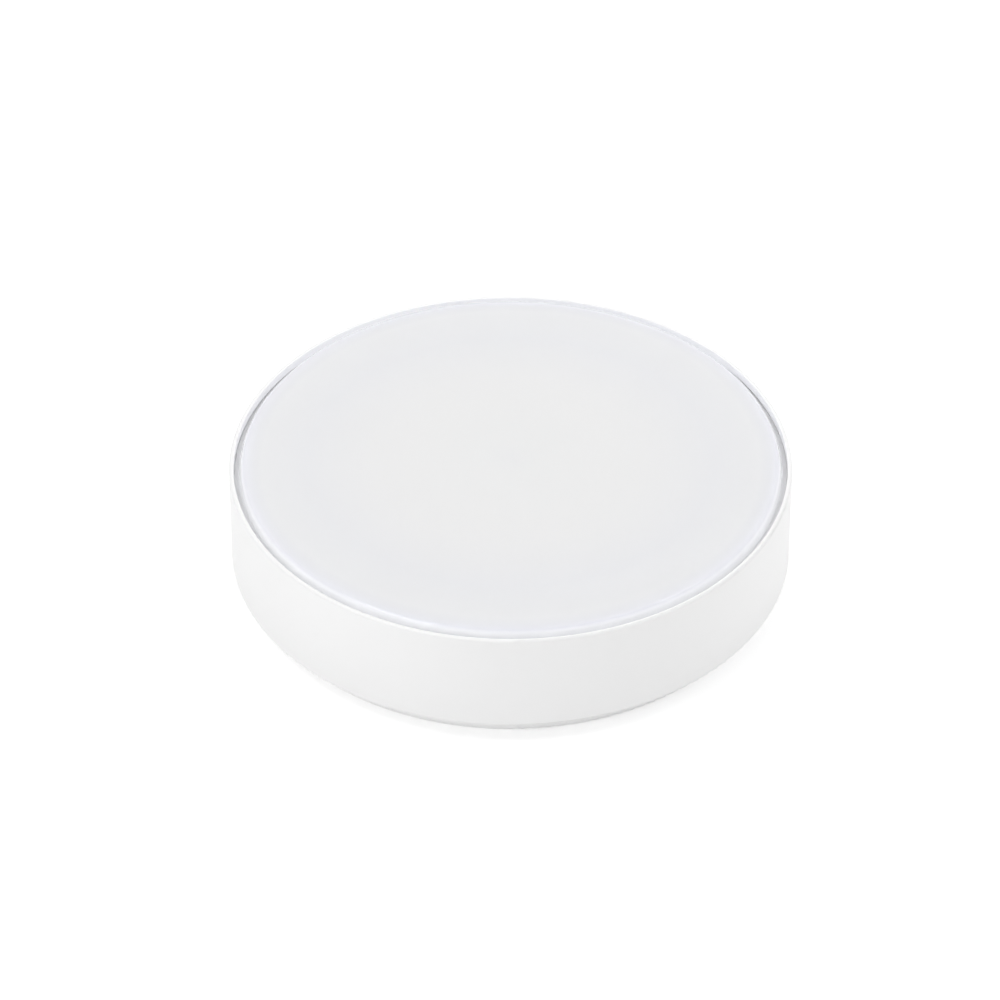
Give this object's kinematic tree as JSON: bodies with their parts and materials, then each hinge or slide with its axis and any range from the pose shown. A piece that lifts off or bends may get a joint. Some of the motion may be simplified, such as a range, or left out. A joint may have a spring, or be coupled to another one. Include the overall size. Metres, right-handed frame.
{
  "type": "ceiling fan light kit",
  "caption": "Round shallow LED light kit for a ceiling fan: white drum with thin rim, clipped opal diffuser, lamp board and driver inside, and a recessed plate that screws to the fan.",
  "frame": {"origin": "centre of the fitter plate's back face, which lies against the fan and on which the kit rests here", "axes": "+Z out of the diffuser, along the kit's round axis; +Y towards the driver inside; the kit hangs in use with +Z down"},
  "size_m": [0.18, 0.18, 0.0428],
  "materials": {
    "drum_coat": "satin white powder coat",
    "plate_coat": "satin white powder coat",
    "tray_coat": "gloss white reflector coat",
    "zinc_steel": "bright zinc plate",
    "spring_steel": "rolled strip",
    "aluminium": "plain",
    "opal_plastic": "polished opal acrylic",
    "seal_foam": "closed-cell foam",
    "black_rubber": "moulded",
    "pad_silicone": "soft silicone",
    "board_mask": "white solder mask",
    "chip_plastic": "silicone over phosphor",
    "connector_plastic": "moulded nylon",
    "case_plastic": "fine moulded texture",
    "green_board": "glass-epoxy board",
    "ferrite": "sintered ferrite",
    "winding_tape": "polyester tape",
    "capacitor_sleeve": "shrunk sleeve",
    "chip_epoxy": "moulded epoxy",
    "fuse_ceramic": "plain ceramic",
    "insulating_paper": "calendered",
    "block_nylon": "natural nylon",
    "brass": "turned",
    "tinned_brass": "tin plate",
    "black_lead": "extruded insulation",
    "white_lead": "extruded insulation",
    "green_lead": "extruded insulation",
    "red_lead": "extruded insulation"
  },
  "bodies": {
    "root": {"drum": "drum_coat", "fitter_plate": "plate_coat", "plate_standoffs": "zinc_steel", "drum_screws": "zinc_steel", "lead_grommet": "black_rubber", "diffuser": "opal_plastic", "dust_seal": "seal_foam", "diffuser_clips": "spring_steel", "clip_rivets": "aluminium", "gear_tray": "tray_coat", "tray_screws": "zinc_steel", "tray_bush": "black_rubber", "thermal_pad": "pad_silicone", "lamp_board": "board_mask", "lamp_chips": "chip_plastic", "board_screws": "zinc_steel", "board_connector": "connector_plastic", "driver_case": "case_plastic", "driver_cover": "case_plastic", "driver_board": "green_board", "transformer_core": "ferrite", "transformer_winding": "winding_tape", "driver_capacitors": "capacitor_sleeve", "driver_choke": "ferrite", "driver_chips": "chip_epoxy", "driver_fuse": "fuse_ceramic", "insulating_sheet": "insulating_paper", "driver_screws": "zinc_steel", "terminal_block": "block_nylon", "terminal_clamps": "brass", "terminal_screws": "zinc_steel", "terminal_block_screw": "zinc_steel", "live_lead": "black_lead", "neutral_lead": "white_lead", "earth_lead": "green_lead", "positive_lead": "red_lead", "negative_lead": "black_lead", "earth_tag": "tinned_brass", "earth_screw": "zinc_steel"}
  },
  "joints": []
}
